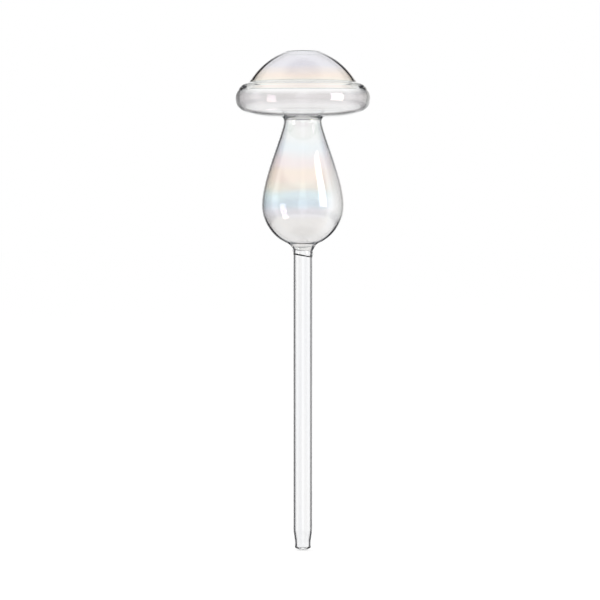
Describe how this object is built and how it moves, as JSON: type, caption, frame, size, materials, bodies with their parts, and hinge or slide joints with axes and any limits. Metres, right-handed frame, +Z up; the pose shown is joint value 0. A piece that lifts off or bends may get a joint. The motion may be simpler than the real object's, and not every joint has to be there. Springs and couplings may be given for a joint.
{
  "type": "watering globe",
  "caption": "Mushroom-shaped clear glass plant-watering globe: a hollow domed cap on a pear-shaped reservoir, with a long feed tube that ends in a drawn tip with a drip hole.",
  "frame": {"origin": "on the globe's axis, at the end of the drip tip", "axes": "+Z up along the globe's axis, from the tip to the cap; the globe is round, so X and Y are free"},
  "size_m": [0.07, 0.07, 0.26],
  "materials": {
    "lustre_glass": "clear blown glass with a pale rainbow lustre",
    "clear_glass": "clear, fire-polished"
  },
  "bodies": {
    "root": {"cap_dome": "lustre_glass", "cap_brim": "lustre_glass", "neck_weld": "lustre_glass", "reservoir_bulb": "lustre_glass", "bulb_outlet": "clear_glass", "tube_weld": "clear_glass", "feed_tube": "clear_glass", "drip_tip": "clear_glass"}
  },
  "joints": []
}
